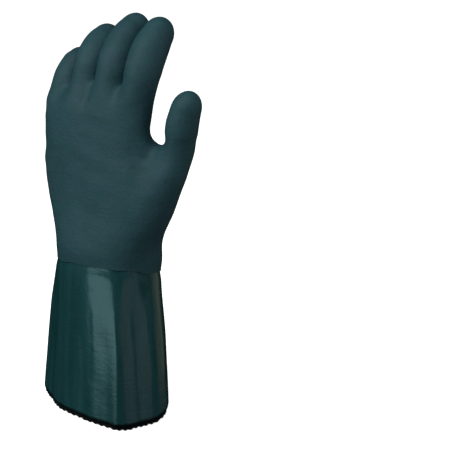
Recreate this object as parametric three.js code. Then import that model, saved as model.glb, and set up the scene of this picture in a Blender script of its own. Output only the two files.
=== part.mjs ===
// A gauntlet work glove for the left hand, PVC over a knitted cotton lining, standing on its cuff.
// Three separate solids: the thick rough coat over the hand, the smooth cuff that runs up inside it,
// and the cotton lining, whose pinked edge shows below the cuff.
// X runs across the hand towards the thumb, Y from the back of the hand towards the palm,
// and Z up towards the fingertips. Lengths are in millimetres and angles in degrees.
import * as THREE from "three";

// Lengths that stack up from the floor to where the fingers part.
const CUFF_LENGTH = 124;
const WRIST_LENGTH = 20;
const HEEL_LENGTH = 88;
const KNUCKLE_LENGTH = 49;

// Outer sizes of the glove's body, and how far the palm lies off the cuff's middle.
const HEM_WIDTH = 113;
const HEM_DEPTH = 80;
const WRIST_WIDTH = 87;
const WRIST_DEPTH = 74;
const PALM_WIDTH = 103;
const PALM_DEPTH = 42;
const KNUCKLE_DEPTH = 31;
const WRIST_OFFSET = 3;
const PALM_OFFSET = -11;
const PALM_LEAN = 5;

// Walls, and the gap between one layer and the next.
const COAT_WALL = 1.7;
const CUFF_WALL = 1.2;
const LINING_WALL = 1.0;
const LAYER_GAP = 0.35;

// The coat's lower edge: its slope from palm to back, its thinned lip, and the cuff's length inside it.
const COAT_EDGE_RISE = 9;
const LIP_WALL = 0.8;
const LIP_LENGTH = 5;
const LAP_LENGTH = 18;

// The lining's pinked edge below the cuff, and how far its top stops short of the cuff's.
const LINING_SHOWS = 4;
const TOOTH_PITCH = 5.2;
const TOOTH_DEPTH = 1.6;
const TOOTH_FLAT = 1.6;
const LINING_TOP_SHORT = 6;

// The creases down the cuff, from having lain flat: at the little finger's edge, where the back of the hand
// turns to the thumb side, and at the thumb's edge. Height is how far each stands out, spread how wide it is.
const CREASES = [
  { angle: 16, height: 1.8, spread: 14 },
  { angle: 134, height: 4.6, spread: 17 },
  { angle: 178, height: 3, spread: 14 },
];

// The fingers in order from the little finger. Length runs from the crotch to the tip, drop is how far the base
// sits below the highest crotch, and arch how far it sits towards the palm. Splay leans towards the thumb,
// and bends curl towards the palm at the base, middle and end joints.
const FINGERS = [
  { width: 24, depth: 24, length: 40, drop: 15, arch: 11, splay: 1, bends: [26, 22, 16] },
  { width: 26, depth: 27, length: 53, drop: 4, arch: 7, splay: 1, bends: [26, 24, 16] },
  { width: 27, depth: 28, length: 62, drop: 0, arch: 5, splay: 2, bends: [25, 22, 14] },
  { width: 28, depth: 30, length: 61, drop: 2, arch: 5, splay: 5, bends: [18, 18, 12] },
];
const THUMB = { width: 27, depth: 30, length: 51, splay: 6, bends: [-2, 4, 6] };
const THUMB_ARCH = 9;
const THUMB_GAP = 10;
const WEB_DROP = 4;

// How far below a crotch the grooves between the fingers, or beside the thumb, die out in the hand.
const FINGER_GROOVE = 20;
const THUMB_GROOVE = 44;

// Girth along a finger, at shares of its length, as shares of its girth at the base.
const FINGER_GIRTH = [
  { place: 0, girth: 1 },
  { place: 0.35, girth: 1 },
  { place: 0.6, girth: 1.02 },
  { place: 0.85, girth: 0.97 },
  { place: 1, girth: 0.9 },
];
const THUMB_GIRTH = [
  { place: 0, girth: 1 },
  { place: 0.3, girth: 0.94 },
  { place: 0.65, girth: 0.93 },
  { place: 1, girth: 0.83 },
];

// How finely each surface is divided.
const FINGER_SIDES = 14;
const FINGER_RINGS = 9;
const TIP_RINGS = 3;
const HEEL_ROWS = 9;
const KNUCKLE_ROWS = 5;
const CUFF_ROWS = 8;
const LINING_ROWS = 7;

const WRIST_HEIGHT = CUFF_LENGTH + WRIST_LENGTH;
const THUMB_CROTCH = WRIST_HEIGHT + HEEL_LENGTH;
const FINGER_CROTCH = THUMB_CROTCH + KNUCKLE_LENGTH;
const WRIST_LEFT = WRIST_OFFSET - WRIST_WIDTH / 2;
const WRIST_RIGHT = WRIST_OFFSET + WRIST_WIDTH / 2;
const PALM_LEFT = PALM_OFFSET - PALM_WIDTH / 2;
const PALM_RIGHT = PALM_OFFSET + PALM_WIDTH / 2;
const THUMB_RIGHT = PALM_RIGHT + THUMB_GAP + THUMB.width;
const HALF_SIDES = FINGER_SIDES / 2;
const HEEL_COLUMNS = 2 * ((FINGERS.length + 1) * (HALF_SIDES - 2) + 2);
const { lerp, clamp, smoothstep, degToRad, radToDeg } = THREE.MathUtils;

// Level sections of the body with the thumb, from the hem to the thumb crotch. Left and right are its edges, shift
// moves it towards the palm, and square is the power of its superellipse, which is 2 for an ellipse.
const BODY = [
  { height: 0, left: -0.5 * HEM_WIDTH, right: 0.5 * HEM_WIDTH, depth: HEM_DEPTH, shift: 0, square: 2.5 },
  {
    height: 0.5 * CUFF_LENGTH,
    left: lerp(-HEM_WIDTH / 2, WRIST_LEFT, 0.42),
    right: lerp(HEM_WIDTH / 2, WRIST_RIGHT, 0.42),
    depth: lerp(HEM_DEPTH, WRIST_DEPTH, 0.5),
    shift: 0,
    square: 2.5,
  },
  {
    height: CUFF_LENGTH,
    left: 1.04 * WRIST_LEFT,
    right: WRIST_RIGHT,
    depth: 1.02 * WRIST_DEPTH,
    shift: 0,
    square: 2.4,
  },
  { height: WRIST_HEIGHT, left: WRIST_LEFT, right: WRIST_RIGHT, depth: WRIST_DEPTH, shift: 0, square: 2.3 },
  {
    height: lerp(WRIST_HEIGHT, THUMB_CROTCH, 0.5),
    left: lerp(WRIST_LEFT, PALM_LEFT, 0.72),
    right: lerp(WRIST_RIGHT, THUMB_RIGHT, 0.52),
    depth: lerp(WRIST_DEPTH, PALM_DEPTH, 0.6),
    shift: 0.1 * THUMB_ARCH,
    square: 2.2,
  },
  {
    height: THUMB_CROTCH,
    left: PALM_LEFT,
    right: THUMB_RIGHT,
    depth: 1.15 * PALM_DEPTH,
    shift: 0.3 * THUMB_ARCH,
    square: 2.2,
  },
];

// Level sections of the palm alone, from the thumb crotch to the finger crotch.
const PALM = [
  { height: THUMB_CROTCH, left: PALM_LEFT, right: PALM_RIGHT, depth: PALM_DEPTH, shift: 0, square: 2.2 },
  { height: FINGER_CROTCH, left: PALM_LEFT, right: PALM_RIGHT, depth: KNUCKLE_DEPTH, shift: PALM_LEAN, square: 2.4 },
];

// The value of a named column at a place, on a smooth curve through the rows of a table that never overshoots them.
function valueAt(rows, key, place, name) {
  const after = rows.findIndex((row) => row[key] > place);
  const i = after < 0 ? rows.length - 2 : Math.max(0, after - 1);
  const slope = (j) => (rows[j + 1][name] - rows[j][name]) / (rows[j + 1][key] - rows[j][key]);
  const here = slope(i);
  const eased = (beside) => (here * beside > 0 ? (2 * here * beside) / (here + beside) : 0);
  const first = i > 0 ? eased(slope(i - 1)) : here;
  const last = i + 2 < rows.length ? eased(slope(i + 1)) : here;
  const span = rows[i + 1][key] - rows[i][key];
  const t = clamp((place - rows[i][key]) / span, 0, 1);
  const between = lerp(rows[i][name], rows[i + 1][name], t * t * (3 - 2 * t));
  return between + span * t * (1 - t) * (first * (1 - t) - last * t);
}

// A point of a table's section at a height, taken in by an inset. The angle is 0 at the little finger's edge,
// a quarter turn at the back of the hand, a half turn at the thumb's edge, and goes on along the palm.
function sectionPoint(rows, angle, height, inset = 0) {
  const [left, right, depth, shift, square] = ["left", "right", "depth", "shift", "square"].map((name) =>
    valueAt(rows, "height", height, name),
  );
  const sideways = -Math.cos(angle);
  const deep = -Math.sign(Math.sin(angle)) * (1 - Math.abs(sideways) ** square) ** (1 / square);
  return new THREE.Vector3(
    (left + right) / 2 + sideways * ((right - left) / 2 - inset),
    shift + deep * (depth / 2 - inset),
    height,
  );
}

// How far the creases stand out of the cuff, dying out towards the wrist.
function creasesAt(angle, height) {
  const stands = CREASES.map((crease) => {
    const away = (radToDeg(angle) - crease.angle) / crease.spread;
    return crease.height * Math.exp(-away * away);
  });
  const fade = 1 - smoothstep(height, CUFF_LENGTH / 2, WRIST_HEIGHT);
  return fade * stands.reduce((sum, stand) => sum + stand, 0);
}

const bodyPoint = (angle, height, inset = 0) =>
  sectionPoint(BODY, angle, height, inset - creasesAt(angle, height));
const palmPoint = (angle, height) => sectionPoint(PALM, angle, height);

// The coat's lower edge slopes: it is highest over the back of the hand.
const coatEdgeAt = (angle) => CUFF_LENGTH + COAT_EDGE_RISE * Math.sin(angle);

// A surface being built: points, and faces that list them anticlockwise as seen from outside.
class Skin {
  points = [];
  faces = [];

  add(point) {
    return this.points.push(point) - 1;
  }

  bridge(lower, upper) {
    lower.forEach((a, i) => {
      const next = (i + 1) % lower.length;
      this.faces.push([a, lower[next], upper[next]], [a, upper[next], upper[i]]);
    });
  }

  loft(rings) {
    rings.slice(1).forEach((upper, i) => this.bridge(rings[i], upper));
  }

  cap(ring, tip) {
    ring.forEach((a, i) => this.faces.push([a, ring[(i + 1) % ring.length], tip]));
  }

  // The outward direction at each point, from the faces round it.
  normals() {
    const sums = this.points.map(() => new THREE.Vector3());
    for (const face of this.faces) {
      const [p, q, r] = face.map((i) => this.points[i]);
      const area = q.clone().sub(p).cross(r.clone().sub(p));
      face.forEach((i) => sums[i].add(area));
    }
    return sums.map((sum) => sum.normalize());
  }

  // A closed solid: this surface, a second one a wall inside it, and a strip round each open edge.
  shell(edges, wallAt) {
    const count = this.points.length;
    const normals = this.normals();
    const inner = this.points.map((point, i) => point.clone().addScaledVector(normals[i], -wallAt(i)));
    edges.flat().forEach((i) => (inner[i].z = this.points[i].z));
    const turned = this.faces.map(([a, b, c]) => [a + count, c + count, b + count]);
    const strips = edges.flatMap((edge) =>
      edge.flatMap((a, i) => {
        const b = edge[(i + 1) % edge.length];
        return [
          [a, b + count, b],
          [a, a + count, b + count],
        ];
      }),
    );
    return geometryOf([...this.points, ...inner], [...this.faces, ...turned, ...strips]);
  }
}

function geometryOf(points, faces) {
  const geometry = new THREE.BufferGeometry();
  const numbers = points.flatMap((point) => point.toArray());
  geometry.setAttribute("position", new THREE.Float32BufferAttribute(numbers, 3));
  geometry.setIndex(faces.flat());
  geometry.computeVertexNormals();
  return geometry;
}

// The girth of a finger round a station. Angle 0 is its side towards the little finger, a quarter turn its back.
function girthPoints({ point, across, up }, halfWidth, halfDepth) {
  return Array.from({ length: FINGER_SIDES }, (_, side) => {
    const angle = (side * Math.PI) / HALF_SIDES;
    return point
      .clone()
      .addScaledVector(across, -halfWidth * Math.cos(angle))
      .addScaledVector(up, halfDepth * Math.sin(angle));
  });
}

// Stations along a finger's centre line: a direction followed in short steps, bent at three joints.
function fingerStations(base, finger) {
  const steps = 60;
  const joints = [0.05, 0.42, 0.76];
  const jointSpread = 0.16;
  const lean = degToRad(finger.splay);
  const across = new THREE.Vector3(Math.cos(lean), 0, -Math.sin(lean));
  const point = base.clone();
  return Array.from({ length: steps + 1 }, (_, i) => {
    const bent = joints.map((joint) => smoothstep(i / steps, joint - jointSpread, joint + jointSpread));
    const curl = degToRad(finger.bends.reduce((sum, bend, j) => sum + bend * bent[j], 0));
    const forward = new THREE.Vector3(0, Math.sin(curl), Math.cos(curl)).applyAxisAngle(
      new THREE.Vector3(0, 1, 0),
      lean,
    );
    const station = { point: point.clone(), forward, across, up: across.clone().cross(forward) };
    point.addScaledVector(forward, (finger.length - finger.depth / 2) / steps);
    return station;
  });
}

// Rings from a base ring that the skin already holds to a round tip.
function growFinger(skin, baseRing, base, finger, girths) {
  const stations = fingerStations(base, finger);
  const end = stations[stations.length - 1];
  let ring = baseRing;
  for (let i = 1; i <= FINGER_RINGS + TIP_RINGS; i++) {
    const place = Math.min(1, i / FINGER_RINGS);
    const station = stations[Math.round(place * (stations.length - 1))];
    const turn = (Math.max(0, i - FINGER_RINGS) / (TIP_RINGS + 1)) * (Math.PI / 2);
    const girth = valueAt(girths, "place", place, "girth") * Math.cos(turn);
    const point = station.point.clone().addScaledVector(station.forward, (finger.depth / 2) * Math.sin(turn));
    const points = girthPoints({ ...station, point }, (girth * finger.width) / 2, (girth * finger.depth) / 2);
    const next = points.map((p) => skin.add(p));
    skin.bridge(ring, next);
    ring = next;
  }
  skin.cap(ring, skin.add(end.point.clone().addScaledVector(end.forward, finger.depth / 2)));
}

// Two neighbouring rings meet in a web: the near ring's last side and the far ring's first side become one point,
// and so do the points in front of them and behind them, which lie lower.
function joinInWeb(near, far) {
  [-1, 0, 1].forEach((step) => {
    const point = near[HALF_SIDES + step];
    point.add(far[(FINGER_SIDES - step) % FINGER_SIDES]).multiplyScalar(0.5);
    point.z -= Math.abs(step) * WEB_DROP;
    far[(FINGER_SIDES - step) % FINGER_SIDES] = point;
  });
}

// A level ring of points round a base, wide across the hand and deep from back to palm.
const baseRing = (base, width, depth) =>
  girthPoints({ point: base, across: new THREE.Vector3(1, 0, 0), up: new THREE.Vector3(0, -1, 0) }, width / 2, depth / 2);

// The four finger bases, side by side across the palm.
function fingerBases() {
  const total = FINGERS.reduce((sum, finger) => sum + finger.width, 0);
  let edge = PALM_LEFT;
  return FINGERS.map((finger) => {
    const width = (finger.width / total) * PALM_WIDTH;
    edge += width;
    const base = new THREE.Vector3(edge - width / 2, finger.arch, FINGER_CROTCH - finger.drop);
    return { base, ring: baseRing(base, width, finger.depth) };
  });
}

// The ring round the palm where the fingers part: along the back from the little finger, and home along the palm.
function palmTop(rings) {
  const last = rings.length - 1;
  const back = rings.flatMap((ring, j) => ring.slice(j === 0 ? 1 : 2, HALF_SIDES));
  const palm = rings.map((ring, j) => ring.slice(HALF_SIDES + (j < last ? 2 : 1))).reverse();
  return [rings[0][0], ...back, rings[last][HALF_SIDES], ...palm.flat()];
}

// The angle of each point of a closed ring, whose first half runs along the back, from how far across it lies.
function anglesAcross(ring) {
  const middle = ring.length / 2;
  const [left, right] = [ring[0].x, ring[middle].x];
  return ring.map((point, i) => {
    const angle = Math.acos(clamp(1 - (2 * (point.x - left)) / (right - left), -1, 1));
    return i <= middle ? angle : 2 * Math.PI - angle;
  });
}

// How much of a ring's own shape is left at a share of the groove's length away from it.
const easeOut = (share) => (1 - clamp(share, 0, 1)) ** 2;

// Rings between a lower and an upper one. They follow a surface, and ease into the shapes of the two rings
// over a groove's length.
function ringsBetween(lower, upper, surface, groove, rows) {
  const offsets = ({ points, angles }) => points.map((point, i) => point.clone().sub(surface(angles[i], point.z)));
  const [below, above] = [offsets(lower), offsets(upper)];
  return evenShares(rows).map((share) =>
    lower.points.map((point, i) => {
      const [bottom, top] = [point.z, upper.points[i].z];
      const z = lerp(bottom, top, share);
      return surface(lerp(lower.angles[i], upper.angles[i], share), z)
        .addScaledVector(below[i], easeOut((z - bottom) / groove))
        .addScaledVector(above[i], easeOut((top - z) / groove));
    }),
  );
}

const evenShares = (count) => Array.from({ length: count - 1 }, (_, i) => (i + 1) / count);
const evenAngles = (count) => Array.from({ length: count }, (_, i) => (2 * Math.PI * i) / count);

// The rough coat over the hand: one hollow shell with four fingers and a thumb, open at the wrist.
function handShell() {
  const skin = new Skin();
  const known = new Map();
  const indexOf = (point) => {
    if (!known.has(point)) known.set(point, skin.add(point));
    return known.get(point);
  };
  const bases = fingerBases();
  const fingerRings = bases.map(({ ring }) => ring);
  fingerRings.slice(1).forEach((far, j) => joinInWeb(fingerRings[j], far));
  const upper = palmTop(fingerRings);
  const palmAngles = anglesAcross(upper);

  const thumbBase = new THREE.Vector3(THUMB_RIGHT - THUMB.width / 2, THUMB_ARCH, THUMB_CROTCH);
  const thumbRing = baseRing(thumbBase, THUMB.width, THUMB.depth);
  const palmRing = palmAngles.map((angle) => palmPoint(angle, THUMB_CROTCH));
  const middle = palmRing.length / 2;
  const palmSide = Array.from({ length: FINGER_SIDES }, (_, side) => palmRing[middle - HALF_SIDES + side]);
  joinInWeb(palmSide, thumbRing);
  const heel = [...palmRing.slice(0, middle), ...thumbRing.slice(2, -1), ...palmRing.slice(middle + 1)];

  const even = evenAngles(HEEL_COLUMNS);
  const lip = even.map((angle) => bodyPoint(angle, coatEdgeAt(angle), COAT_WALL - LIP_WALL));
  const lipTop = even.map((angle) => bodyPoint(angle, coatEdgeAt(angle) + LIP_LENGTH));
  const heelFrom = { points: lipTop, angles: even };
  const heelTo = { points: heel, angles: anglesAcross(heel) };
  const palmFrom = { points: palmRing, angles: palmAngles };
  const palmTo = { points: upper, angles: palmAngles };
  const heelRings = ringsBetween(heelFrom, heelTo, bodyPoint, THUMB_GROOVE, HEEL_ROWS);
  const palmRings = ringsBetween(palmFrom, palmTo, palmPoint, FINGER_GROOVE, KNUCKLE_ROWS);
  skin.loft([lip, lipTop, ...heelRings, heel].map((ring) => ring.map(indexOf)));
  skin.loft([palmRing, ...palmRings, upper].map((ring) => ring.map(indexOf)));

  bases.forEach(({ base, ring }, j) => growFinger(skin, ring.map(indexOf), base, FINGERS[j], FINGER_GIRTH));
  growFinger(skin, thumbRing.map(indexOf), thumbBase, THUMB, THUMB_GIRTH);
  const edge = lip.map(indexOf);
  return skin.shell([edge], (i) => (edge.includes(i) ? LIP_WALL : COAT_WALL));
}

const LAP_TOP = CUFF_LENGTH + LAP_LENGTH;
const CUFF_INSET = COAT_WALL + LAYER_GAP;
const LINING_INSET = CUFF_INSET + CUFF_WALL + LAYER_GAP;

// Rings round the body, taken in by an inset, from one height to another.
function sleeveRings(skin, angles, rows, bottom, top, inset) {
  const ringAt = (share) => angles.map((angle) => skin.add(bodyPoint(angle, lerp(bottom, top, share), inset)));
  return [0, ...evenShares(rows), 1].map(ringAt);
}

// The smooth cuff: a flared sleeve that runs up inside the coat.
function gauntletCuff() {
  const skin = new Skin();
  const rings = sleeveRings(skin, evenAngles(HEEL_COLUMNS), CUFF_ROWS, LINING_SHOWS, LAP_TOP, CUFF_INSET);
  skin.loft(rings);
  return skin.shell([rings[0], rings[CUFF_ROWS].toReversed()], () => CUFF_WALL);
}

// The cotton lining: a thin sleeve inside the cuff, pinked along its lower edge, which it stands on.
function cottonLining() {
  const skin = new Skin();
  const teeth = Math.round((Math.PI * (HEM_WIDTH + HEM_DEPTH)) / 2 / TOOTH_PITCH);
  const angles = evenAngles(teeth);
  const pitch = (2 * Math.PI) / teeth;
  const flat = (pitch * TOOTH_FLAT) / TOOTH_PITCH;
  const at = (angle, height) => skin.add(bodyPoint(angle, height, LINING_INSET));
  const edge = angles.map((angle) => [
    at(angle, TOOTH_DEPTH),
    at(angle + (pitch - flat) / 2, 0),
    at(angle + (pitch + flat) / 2, 0),
  ]);
  const top = LAP_TOP - LINING_TOP_SHORT;
  const rings = sleeveRings(skin, angles, LINING_ROWS, LINING_SHOWS, top, LINING_INSET);
  edge.forEach(([root, left, right], i) => {
    const next = (i + 1) % teeth;
    const [above, beside] = [rings[0][i], rings[0][next]];
    skin.faces.push([root, left, above], [left, right, above], [right, beside, above]);
    skin.faces.push([right, edge[next][0], beside]);
  });
  skin.loft(rings);
  return skin.shell([edge.flat(), rings[LINING_ROWS].toReversed()], () => LINING_WALL);
}

// Each mesh stands in its own place already, with its finish.
function meshOf(name, geometry, finish) {
  const mesh = new THREE.Mesh(geometry, new THREE.MeshStandardMaterial(finish));
  mesh.name = name;
  return mesh;
}

const glove = new THREE.Group();
glove.add(
  meshOf("hand_shell", handShell(), { color: 0x2b4a4e, roughness: 0.75, metalness: 0 }),
  meshOf("gauntlet_cuff", gauntletCuff(), { color: 0x1d3b3c, roughness: 0.25, metalness: 0 }),
  meshOf("cotton_lining", cottonLining(), { color: 0x15191c, roughness: 0.95, metalness: 0 }),
);

// The origin is under the middle of the whole glove, on the floor.
const box = new THREE.Box3().setFromObject(glove);
const centre = box.getCenter(new THREE.Vector3());
glove.children.forEach((mesh) => mesh.position.set(-centre.x, -centre.y, -box.min.z));

export default glove;
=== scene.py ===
"""The looks of a PVC coated work glove for the left hand: its rough coat, smooth cuff and knitted lining.

Lengths inside the shape functions are millimetres; meshes are made in metres, in the frame's own axes:
X runs across the hand to the thumb, Y from the back of the hand to the palm, and Z up to the fingertips.
An angle goes round the glove from the little finger's side, over the back, to the thumb's side and home.
"""

import math

import bmesh
import bpy
import numpy as np
from bpy.props import FloatProperty, FloatVectorProperty, PointerProperty
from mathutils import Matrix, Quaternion, Vector


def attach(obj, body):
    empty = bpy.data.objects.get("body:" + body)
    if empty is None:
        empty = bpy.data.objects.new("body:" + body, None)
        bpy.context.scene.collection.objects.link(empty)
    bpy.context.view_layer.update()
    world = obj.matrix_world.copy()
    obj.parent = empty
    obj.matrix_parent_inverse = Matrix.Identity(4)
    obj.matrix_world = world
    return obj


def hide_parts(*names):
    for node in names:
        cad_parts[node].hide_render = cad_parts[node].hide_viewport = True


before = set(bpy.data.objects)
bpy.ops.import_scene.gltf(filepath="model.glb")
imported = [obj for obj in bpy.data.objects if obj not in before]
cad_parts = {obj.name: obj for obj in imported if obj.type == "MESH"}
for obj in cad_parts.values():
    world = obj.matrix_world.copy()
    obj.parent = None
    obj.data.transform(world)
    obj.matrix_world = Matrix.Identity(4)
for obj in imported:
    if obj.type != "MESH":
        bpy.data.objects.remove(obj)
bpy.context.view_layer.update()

bl_info = {
    "name": "PVC work glove",
    "version": (1, 0, 0),
    "blender": (4, 5, 0),
    "location": "3D View > Sidebar > Glove",
    "description": "Builds the coat, cuff and lining of a gauntlet glove around its frame",
    "category": "Mesh",
}

MM = 0.001
TURN = 2 * math.pi

# Where the glove's own axes stand in the frame.
GLOVE_PLACE = np.array((-8.20, -4.95, 0.0))

# Heights from the surface that the glove stands on.
CUFF_LENGTH = 124.0
WRIST_HEIGHT = 144.0
THUMB_CROTCH = 232.0
FINGER_CROTCH = 281.0
HALFWAY = (WRIST_HEIGHT + THUMB_CROTCH) / 2

# Widths and depths, and how far the arch of the hand leans to the palm.
HEM_WIDTH, HEM_DEPTH = 113.0, 80.0
WRIST_LEFT, WRIST_RIGHT, WRIST_DEPTH = -40.5, 46.5, 74.0
PALM_LEFT, PALM_RIGHT, PALM_DEPTH = -62.5, 40.5, 42.0
KNUCKLE_DEPTH, PALM_LEAN = 31.0, 5.0
THUMB_RIGHT, THUMB_ARCH = 77.5, 9.0

# The knuckles stand a little nearer the thumb: how far, round what height, and how widely.
KNUCKLE_SHIFT, KNUCKLE_HEIGHT, KNUCKLE_SPREAD = 2.3, 288.0, 22.0

# Walls, and the gap between one layer and the next.
COAT_WALL, LIP_WALL, CUFF_WALL, LINING_WALL = 1.7, 0.5, 1.2, 1.0
LAYER_GAP = 0.35
CUFF_INSET = COAT_WALL + LAYER_GAP
LINING_INSET = CUFF_INSET + CUFF_WALL + LAYER_GAP

# The sleeves' ends, where the cuff's own waves fade, the lining's pinked edge and the height where its even
# rows begin, and the knit's length round the hem.
CUFF_TOP = 156.0
CUFF_FADE = (CUFF_LENGTH - 34, CUFF_LENGTH - 6)
LINING_SHOWS, LINING_EVEN, LINING_TOP = 5.0, 9.0, 136.0
TEETH, TOOTH_DEPTH, TOOTH_ROUNDING = 58, 2.0, 0.8
HEM_GIRTH = math.pi * (HEM_WIDTH + HEM_DEPTH) / 2

# The coat's lower edge: its slope from palm to back, its lift, a bell curve in degrees, and small waves.
COAT_EDGE_RISE, EDGE_LIFT = 9.0, 4.0
EDGE_BELL, EDGE_BELL_ANGLE, EDGE_BELL_SPREAD = 6.0, 140.0, 50.0
EDGE_WAVES = (
    {"height": 0.5, "count": 5, "start": 0.6, "drift": 0.0},
    {"height": 0.35, "count": 9, "start": 2.0, "drift": 0.0},
    {"height": 0.2, "count": 16, "start": 0.0, "drift": 0.0},
)

# The coat thins over its lip. Its rows lie this far above the edge.
LIP_LENGTH = 12.0
LIP_ROWS = np.array((0, 0.5, 1.6, 4.0, 8.0))

# How far the cuff fills out below the coat's edge, and over what length.
SWELL, SWELL_LENGTH = 0.9, 9.0

# Creases down the cuff: the angle of each in degrees, how far it stands out, or sinks where that is
# negative, and how widely it spreads in degrees.
CREASES = {
    "angle": (16.0, 44.0, 104.0, 134.0, 178.0),
    "height": (2.6, -2.4, 0.9, 4.6, 3.0),
    "spread": (9.0, 14.0, 12.0, 17.0, 14.0),
}
CREASE_FADE = (0.7 * CUFF_LENGTH, WRIST_HEIGHT + 6)

# The narrow ridge beside the tallest crease and the hollow next to it, with angles and spreads in degrees.
RIDGE_ANGLE, RIDGE_HEIGHT, RIDGE_SPREAD, RIDGE_MIDDLE, RIDGE_SLANT = 131.0, 0.54, 2.6, 60.0, 1 / 30
HOLLOW_ANGLE, HOLLOW_DEPTH, HOLLOW_SPREAD = 124.0, 0.3, 3.5

# Faint flow bands down the cuff, and the frill of the lining's edge.
FLOW_WAVES = (
    {"height": 0.10, "count": 17, "start": 0.8, "drift": 0.0},
    {"height": 0.07, "count": 29, "start": 0.0, "drift": 1 / 40},
    {"height": 0.05, "count": 41, "start": 0.0, "drift": 0.0},
)
FRILL_WAVES = ({"height": 0.14, "count": 23, "start": 0.0, "drift": 0.0},)

# Uneven surfaces: how high they are, the lengths of their waves, and the seed of their directions.
SOFT_LUMPS = {"height": 0.28, "waves": (46, 37, 29, 23, 31, 19), "seed": 3}
FINE_LUMPS = {"height": 0.10, "waves": (9, 7.5, 11, 8.2, 6.4, 10), "seed": 8}
CUFF_DENTS = {"height": 0.22, "waves": (33, 26, 41, 21, 17), "seed": 12}

# Wrinkles over the back of the hand, which start above the wrist and end at the knuckles, and folds round
# the wrist.
WRINKLE_HEIGHT, WRINKLE_LENGTH = 0.22, 17.0
WRINKLE_START = (WRIST_HEIGHT + 6, WRIST_HEIGHT + 46)
WRINKLE_END = (FINGER_CROTCH - 31, FINGER_CROTCH + 4)
FOLD_HEIGHT, FOLD_LENGTH, FOLD_MIDDLE, FOLD_SPREAD = 0.3, 11.0, WRIST_HEIGHT + 8, 13.0

# The share of its unevenness that the coat keeps where it laps over the cuff, and where it gets the rest.
LAP_SHARE = 0.3
LAP_END = (WRIST_HEIGHT + 2, WRIST_HEIGHT + 28)

# Grooves that run down the back of the hand from between the fingers: where, how far down, and how deep.
GROOVES = {"place": (-38.0, -12.2, 14.4), "drop": (9.0, 24.0, 15.0), "depth": (0.8, 2.6, 2.8)}
GROOVE_SPREAD, GROOVE_FADE = 3.2, 9.0
GROOVE_TOP = (FINGER_CROTCH - 3, FINGER_CROTCH + 10)

# The webs between the fingers and beside the thumb, and how far a shape of rings below them is carried.
BACK_WEB_DROP, PALM_WEB_DROP, THUMB_WEB_RISE = 12.0, 5.0, 5.5
FINGER_GROOVE, THUMB_GROOVE = 20.0, 44.0

# The round bar that opens the crotch of the thumb.
CROTCH_MIDDLE = np.array((46.4, 4.0, 244.6))
CROTCH_RADIUS, CROTCH_SLANT = 6.6, math.radians(38)
CROTCH_ACROSS = np.array((math.cos(CROTCH_SLANT), math.sin(CROTCH_SLANT), 0))

# Zones of the coat that are smoothed: how far each reaches from its middle, and its rounds of smoothing.
SOFT_ZONES = {
    "start": {"reach": 22, "rounds": 64},
    "root": {"reach": 11, "rounds": 7},
    "outer": {"reach": 17, "rounds": 14},
    "knuckles": {"reach": 22, "rounds": 9},
    "crotch": {"reach": 17, "rounds": 5},
}


def mix(a, b, share):
    """The value a share of the way from a to b."""
    return a + (b - a) * share


BODY = {
    "height": (0, CUFF_LENGTH / 2, CUFF_LENGTH, WRIST_HEIGHT, HALFWAY, THUMB_CROTCH),
    "left": (
        -HEM_WIDTH / 2,
        mix(-HEM_WIDTH / 2, WRIST_LEFT, 0.42),
        1.04 * WRIST_LEFT,
        WRIST_LEFT,
        mix(WRIST_LEFT, PALM_LEFT, 0.72),
        PALM_LEFT,
    ),
    "right": (
        HEM_WIDTH / 2,
        mix(HEM_WIDTH / 2, WRIST_RIGHT, 0.42),
        WRIST_RIGHT,
        WRIST_RIGHT,
        mix(WRIST_RIGHT, THUMB_RIGHT, 0.57),
        THUMB_RIGHT,
    ),
    "depth": (
        HEM_DEPTH,
        mix(HEM_DEPTH, WRIST_DEPTH, 0.5),
        1.02 * WRIST_DEPTH,
        WRIST_DEPTH,
        mix(WRIST_DEPTH, PALM_DEPTH, 0.6),
        1.15 * PALM_DEPTH,
    ),
    "shift": (0, 0, 0, 0, 0.1 * THUMB_ARCH, 0.3 * THUMB_ARCH),
    "square": (2.5, 2.5, 2.4, 2.3, 2.2, 2.2),
}
PALM = {
    "height": (THUMB_CROTCH, FINGER_CROTCH),
    "left": (PALM_LEFT, PALM_LEFT),
    "right": (PALM_RIGHT, PALM_RIGHT),
    "depth": (PALM_DEPTH, KNUCKLE_DEPTH),
    "shift": (0, PALM_LEAN),
    "square": (2.2, 2.4),
}
FINGER_GIRTH = {"place": (0, 0.35, 0.6, 0.85, 1), "girth": (1, 1, 0.99, 0.94, 0.86)}
THUMB_GIRTH = {"place": (0, 0.3, 0.65, 1), "girth": (1, 0.94, 0.94, 0.88)}

# The digits from the little finger on. Bends curl each one to the palm at its three joints, in degrees.
FINGERS = (
    {"width": 24, "depth": 24, "length": 37.5, "drop": 15, "arch": 11, "splay": 1, "bends": (26, 22, 16)},
    {"width": 26, "depth": 27, "length": 53, "drop": 4, "arch": 7, "splay": 1, "bends": (26, 24, 16)},
    {"width": 27, "depth": 28, "length": 62, "drop": 0, "arch": 5, "splay": 2, "bends": (25, 22, 14)},
    {"width": 28, "depth": 30, "length": 61, "drop": 2, "arch": 5, "splay": 3.4, "bends": (18, 18, 12)},
)
THUMB = {"width": 27, "depth": 30, "length": 53, "splay": 6, "bends": (-2, 4, 6)}

# Shares of a digit's length: its joints, how far a bend spreads, and where its base's shape ends.
JOINTS, JOINT_SPREAD, BASE_SHARE = np.array((0.05, 0.42, 0.76)), 0.16, 0.3

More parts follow.
